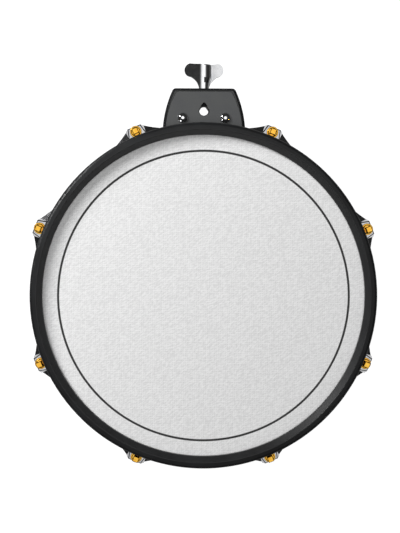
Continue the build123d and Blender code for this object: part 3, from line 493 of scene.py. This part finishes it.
def buildFoamCone():
    low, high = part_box("foam_cone")
    shape = bmesh.new()
    profile = roundedSide(high.x, foamShape["coneTipRadius"], low.z, high.z,
                          foamShape["edgeRound"])
    turnProfile(shape, profile, foamShape["roundSteps"], closed=False)
    roughenSide(shape, low.z, high.z)
    return shape


def buildTapeDisc():
    low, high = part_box("head_piezo_tape")
    shape = bmesh.new()
    edge = foamShape["tapeEdge"]
    profile = [(0, low.z), (high.x - edge, low.z), (high.x, low.z + edge),
               (high.x, high.z - edge), (high.x - edge, high.z), (0, high.z)]
    turnProfile(shape, profile, foamShape["roundSteps"], closed=False)
    return shape


def buildFoamPad():
    low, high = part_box("rim_piezo_pad")
    shape = bmesh.new()
    bmesh.ops.create_cube(shape, size=1.0)
    size, middle = high - low, (high + low) / 2
    for vert in shape.verts:
        vert.co = Vector([middle[i] + vert.co[i] * size[i] for i in range(3)])
    upright = [e for e in shape.edges if abs(e.verts[0].co.z - e.verts[1].co.z) > tiny]
    bmesh.ops.bevel(shape, geom=upright, offset=foamShape["padCorner"], segments=5,
                    affect="EDGES", profile=0.5)
    flat = [e for e in shape.edges if abs(e.verts[0].co.z - e.verts[1].co.z) < tiny]
    bmesh.ops.bevel(shape, geom=flat, offset=foamShape["padEdge"], segments=2,
                    affect="EDGES", profile=0.5)
    return shape


for pieceName, build, nodeName in (("foam_cone_cut", buildFoamCone, "foam_cone"),
                                   ("foam_tape_disc", buildTapeDisc, "head_piezo_tape"),
                                   ("foam_rim_pad", buildFoamPad, "rim_piezo_pad")):
    foamPiece = newPiece(pieceName, build(), openCellFoam, "shell")
    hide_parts(nodeName)
print("foam pieces built")


# Studio: a pale floor and backdrop, a soft low key light from the upper left, a lower edge light,
# a fill overhead, and a sky that is bright overhead and dark round the horizon, so that plated
# pieces have something to reflect. Lengths are in metres, angles in degrees, powers in watts.

studio = {
    "floorSize": 6.0,
    "floorTone": "#6b6b6b",
    "floorGlow": 0.97,
    "floorGlowSpread": 0.01,
    "floorGrainMm": 25,
    "backdropRadius": 14.0,
    "backdropGlow": 1.0,
    "keyBearing": 137, "keyHeight": 28, "keyDistance": 1.6, "keySize": 0.7, "keyPower": 28.0,
    "edgeBearing": 142, "edgeHeight": 20, "edgeSize": 0.35, "edgePower": 8.0,
    "fillPower": 7.2, "fillSize": 1.2, "fillHeight": 1.7,
    # degrees from overhead, and how bright the sky is there
    "skyStops": [(0, 1.5), (12, 1.4), (23, 0.9), (31, 0.2), (40, 0.04),
                 (90, 0.03), (112, 0.28), (180, 0.35)],
}


def showOnlyToCamera(piece):
    piece.visible_diffuse = piece.visible_glossy = piece.visible_transmission = False
    piece.visible_volume_scatter = piece.visible_shadow = False


def addStagePiece(name, shape, material):
    mesh = bpy.data.meshes.new(name)
    shape.to_mesh(mesh)
    shape.free()
    mesh.materials.append(material)
    piece = bpy.data.objects.new(name, mesh)
    scene.collection.objects.link(piece)
    showOnlyToCamera(piece)


# lit white board: flat and nearly white, with a barely visible mottle
def makeFloor():
    material, tree = newMaterial("paleFloor")
    place = addNode(tree, "ShaderNodeTexCoord").outputs["Object"]
    grain = addNode(tree, "ShaderNodeTexNoise", None,
                    {"Vector": place, "Scale": 1 / (studio["floorGrainMm"] * mm)}).outputs[0]
    matt = addNode(tree, "ShaderNodeBsdfDiffuse", None,
                   {"Color": linearColour(studio["floorTone"])}).outputs[0]
    middle, spread = studio["floorGlow"], studio["floorGlowSpread"]
    glowAmount = addNode(tree, "ShaderNodeMapRange", None,
                         {"Value": grain, "To Min": middle - spread,
                          "To Max": middle + spread}).outputs[0]
    glow = addNode(tree, "ShaderNodeEmission", None, {"Strength": glowAmount}).outputs[0]
    lit = addNode(tree, "ShaderNodeAddShader", None, {0: matt, 1: glow}).outputs[0]
    clear = addNode(tree, "ShaderNodeBsdfTransparent").outputs[0]
    # seen from below the floor is clear, so that the underside can be looked at
    side = addNode(tree, "ShaderNodeNewGeometry").outputs["Backfacing"]
    both = addNode(tree, "ShaderNodeMixShader", None, {0: side, 1: lit, 2: clear}).outputs[0]
    addNode(tree, "ShaderNodeOutputMaterial", None, {"Surface": both})
    half = studio["floorSize"] / 2
    shape = bmesh.new()
    corners = [shape.verts.new((x, y, cadBox[0].z))
               for x, y in ((-half, -half), (half, -half), (half, half), (-half, half))]
    shape.faces.new(corners)
    addStagePiece("floor", shape, material)


# a glowing white shell round the studio: pure white from every side
def makeBackdrop():
    material, tree = newMaterial("paleBackdrop")
    glow = addNode(tree, "ShaderNodeEmission", None,
                   {"Strength": studio["backdropGlow"]}).outputs[0]
    addNode(tree, "ShaderNodeOutputMaterial", None, {"Surface": glow})
    shape = bmesh.new()
    bmesh.ops.create_icosphere(shape, subdivisions=4, radius=studio["backdropRadius"])
    addStagePiece("backdrop", shape, material)


def makeSky():
    sky = bpy.data.worlds.new("sky")
    sky.use_nodes = True
    tree = sky.node_tree
    tree.nodes.clear()
    direction = addNode(tree, "ShaderNodeTexCoord").outputs["Generated"]
    height = addNode(tree, "ShaderNodeSeparateXYZ", None, {0: direction}).outputs[2]
    fromOverhead = addNode(tree, "ShaderNodeMath", {"operation": "ARCCOSINE"},
                           {0: height}).outputs[0]
    share = addNode(tree, "ShaderNodeMath", {"operation": "DIVIDE"},
                    {0: fromOverhead, 1: math.pi}).outputs[0]
    ramp = addNode(tree, "ShaderNodeValToRGB", None, {0: share})
    stops = ramp.color_ramp.elements
    while len(stops) < len(studio["skyStops"]):
        stops.new(0.5)
    for stop, (angle, bright) in zip(stops, studio["skyStops"]):
        stop.position = angle / 180
        stop.color = (bright, bright, bright, 1.0)
    ground = addNode(tree, "ShaderNodeBackground", None, {"Color": ramp.outputs[0]})
    addNode(tree, "ShaderNodeOutputWorld", None, {"Surface": ground.outputs[0]})
    scene.world = sky


def addSoftLight(name, power, size, place, target, mirrored):
    light = bpy.data.lights.new(name, "AREA")
    light.energy = power
    light.shape = "DISK"
    light.size = size
    lamp = bpy.data.objects.new(name, light)
    lamp.location = place
    lamp.rotation_mode = "QUATERNION"
    lamp.rotation_quaternion = (target - place).to_track_quat("-Z", "Y")
    lamp.visible_glossy = mirrored
    scene.collection.objects.link(lamp)


headCentre = Vector((0, 0, headHigh.z))


# a place at this bearing and height, in degrees, seen from the middle of the head
def placeAround(bearing, height, distance):
    turn, rise = math.radians(bearing), math.radians(height)
    away = Vector((math.cos(turn) * math.cos(rise), math.sin(turn) * math.cos(rise),
                   math.sin(rise)))
    return headCentre + distance * away


makeFloor()
makeBackdrop()
makeSky()
# key and fill are kept out of reflections: the plated ears would mirror them as white patches
addSoftLight("keyLight", studio["keyPower"], studio["keySize"],
             placeAround(studio["keyBearing"], studio["keyHeight"], studio["keyDistance"]),
             headCentre, mirrored=False)
addSoftLight("edgeLight", studio["edgePower"], studio["edgeSize"],
             placeAround(studio["edgeBearing"], studio["edgeHeight"], studio["keyDistance"]),
             headCentre, mirrored=True)
addSoftLight("fillLight", studio["fillPower"], studio["fillSize"],
             headCentre + Vector((0, 0, studio["fillHeight"])), headCentre, mirrored=False)
scene.view_settings.view_transform = "Standard"
print("studio lit")


# Camera: above the head, a little towards the bracket. Angles in degrees, distance and aim in
# metres, lens and sensor in millimetres.

cameraPlan = {"tilt": 3.634, "swing": -0.918, "roll": 0.185,
              "distance": 0.92179, "aim": (-0.00444, 0.03402),
              "lens": 57.88, "sensor": 36.0}


def makeCamera():
    tilt, swing, roll = [math.radians(cameraPlan[key]) for key in ("tilt", "swing", "roll")]
    back = Vector((math.sin(swing) * math.cos(tilt), math.sin(tilt),
                   math.cos(swing) * math.cos(tilt)))
    right = Vector((0, 1, 0)).cross(back).normalized()
    up = back.cross(right)
    rolledRight = math.cos(roll) * right + math.sin(roll) * up
    rolledUp = math.cos(roll) * up - math.sin(roll) * right
    aim = Vector((*cameraPlan["aim"], cadBox[1].z))
    camera = bpy.data.objects.new("camera", bpy.data.cameras.new("camera"))
    camera.data.lens = cameraPlan["lens"]
    camera.data.sensor_width = cameraPlan["sensor"]
    axes = Matrix((rolledRight, rolledUp, back)).transposed()
    camera.matrix_world = Matrix.Translation(aim + cameraPlan["distance"] * back) @ axes.to_4x4()
    scene.collection.objects.link(camera)
    scene.camera = camera


makeCamera()
